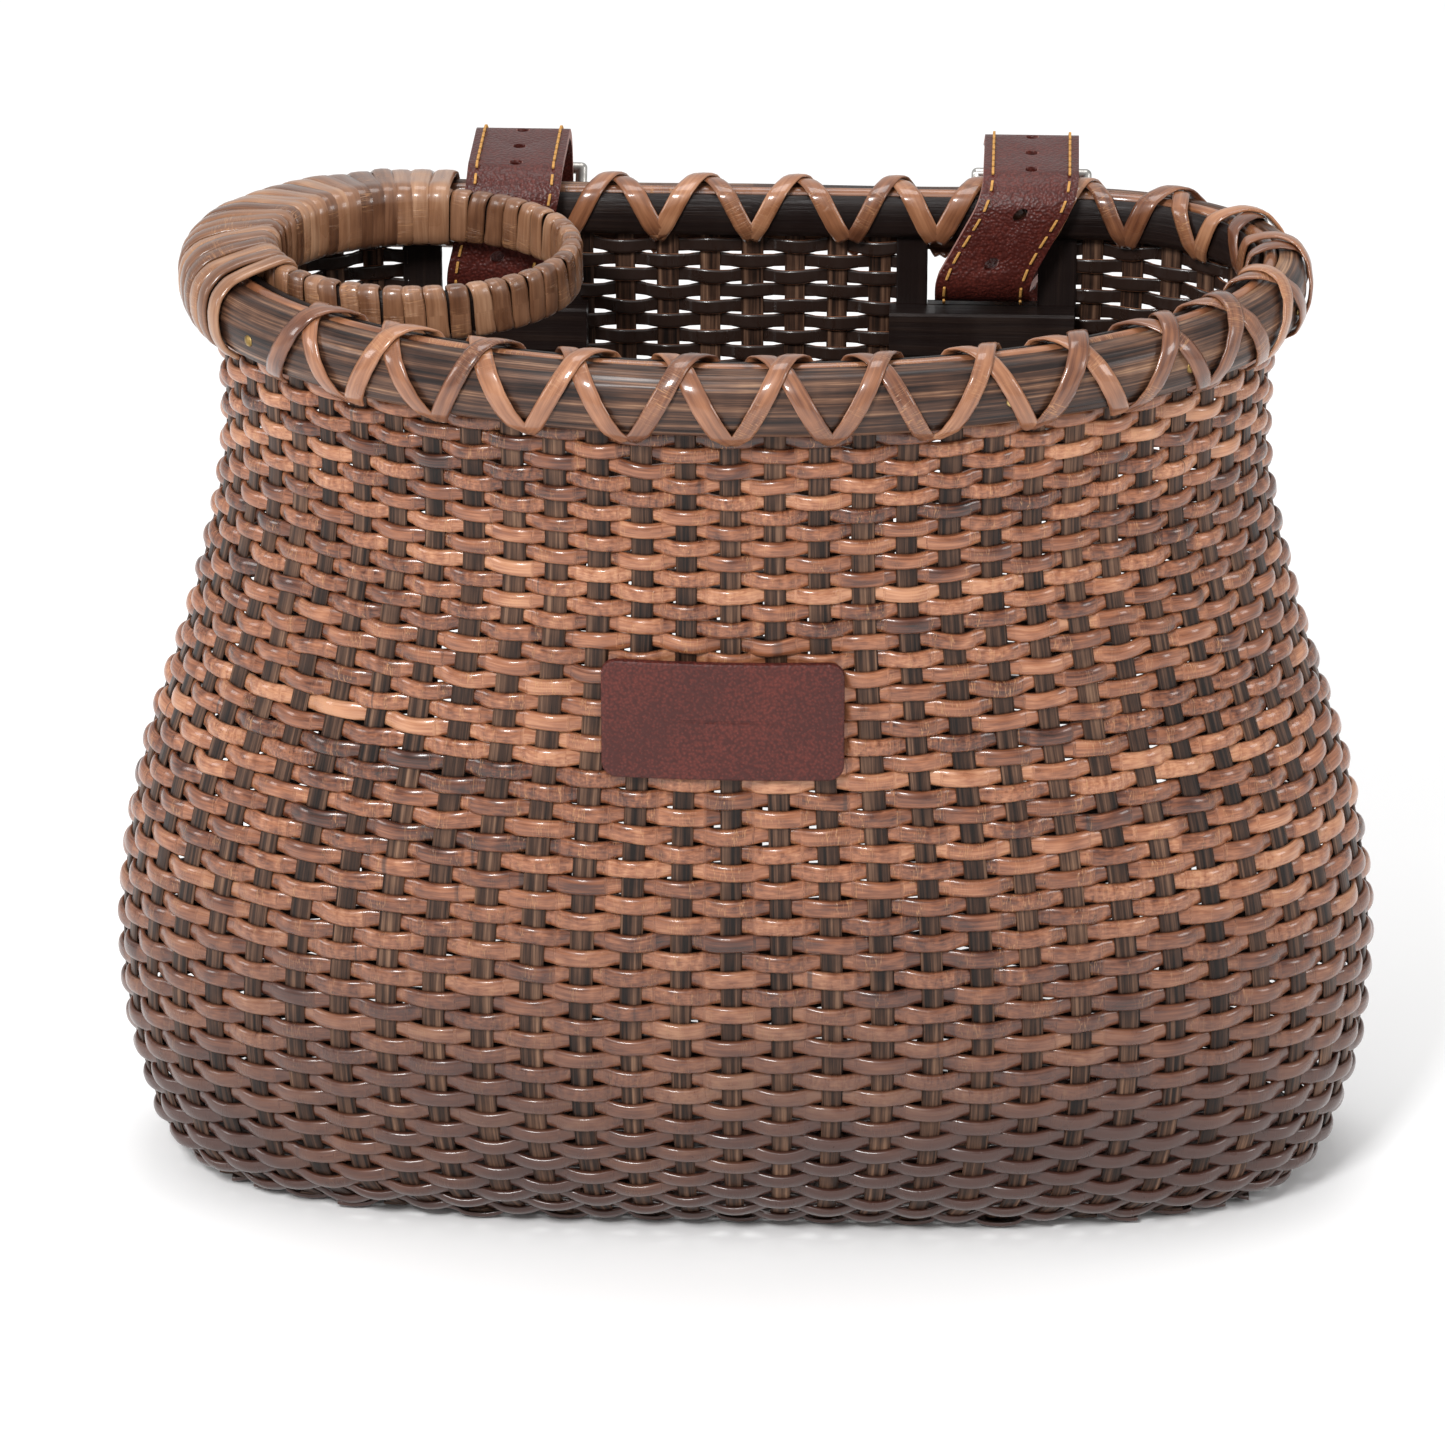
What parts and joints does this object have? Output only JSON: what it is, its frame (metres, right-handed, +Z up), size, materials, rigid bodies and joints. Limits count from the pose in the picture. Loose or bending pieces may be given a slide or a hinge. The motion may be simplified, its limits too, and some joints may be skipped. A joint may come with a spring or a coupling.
{
  "type": "handlebar basket",
  "caption": "D-shaped woven rattan handlebar basket with a bound rim, a cup ring inside, a leather patch and two buckled leather straps at the back.",
  "frame": {"origin": "underside of the base, on the basket's mirror plane, in the plane where the rim is widest", "axes": "+Z up, +X across the basket to its right seen from the bowed front, +Y back towards the handlebar"},
  "size_m": [0.3362, 0.1986, 0.2631],
  "materials": {
    "weave": "varnished rattan weave, glossy",
    "stake": "dark stained bamboo strip, satin",
    "hoop": "split bamboo with long grain lines, satin",
    "dark_wood": "near-black stained bamboo, satin",
    "cane": "flat rattan strip, glossy",
    "leather": "smooth reddish-brown leather, soft sheen",
    "thread": "waxed ochre thread",
    "brass": "aged brass",
    "steel": "dulled nickel"
  },
  "bodies": {
    "basket": {"woven_wall": "weave", "base_panel": "weave", "rim_outer_hoop": "hoop", "rim_inner_hoop": "dark_wood", "rim_top_cane": "cane", "rim_lashing": "cane", "rim_nails": "brass", "cup_ring_core": "hoop", "cup_ring_wrap": "cane", "cup_ring_binding": "cane", "label_patch": "leather", "left_window_outer_post": "dark_wood", "left_window_inner_post": "dark_wood", "left_window_sill": "dark_wood", "right_window_outer_post": "dark_wood", "right_window_inner_post": "dark_wood", "right_window_sill": "dark_wood"},
    "left_strap": {"left_strap": "leather", "left_strap_stitching": "thread", "left_strap_rivets": "brass", "left_buckle_frame": "steel"},
    "left_prong": {"left_buckle_prong": "steel"},
    "right_strap": {"right_strap": "leather", "right_strap_stitching": "thread", "right_strap_rivets": "brass", "right_buckle_frame": "steel"},
    "right_prong": {"right_buckle_prong": "steel"}
  },
  "joints": [
    {"name": "left_strap_swing", "type": "hinge", "parent": "basket", "child": "left_strap", "pos_m": [-0.067, 0.038, 0.2268], "axis": [1, 0, 0], "range_deg": [-2, 1.2]},
    {"name": "left_prong_lift", "type": "hinge", "parent": "left_strap", "child": "left_prong", "pos_m": [-0.067, 0.08079, 0.23387], "axis": [-1, 0, 0], "range_deg": [0, 25]},
    {"name": "right_strap_swing", "type": "hinge", "parent": "basket", "child": "right_strap", "pos_m": [0.0625, 0.038, 0.2268], "axis": [1, 0, 0], "range_deg": [-2, 10]},
    {"name": "right_prong_lift", "type": "hinge", "parent": "right_strap", "child": "right_prong", "pos_m": [0.0625, 0.08079, 0.23387], "axis": [-1, 0, 0], "range_deg": [0, 25]}
  ]
}
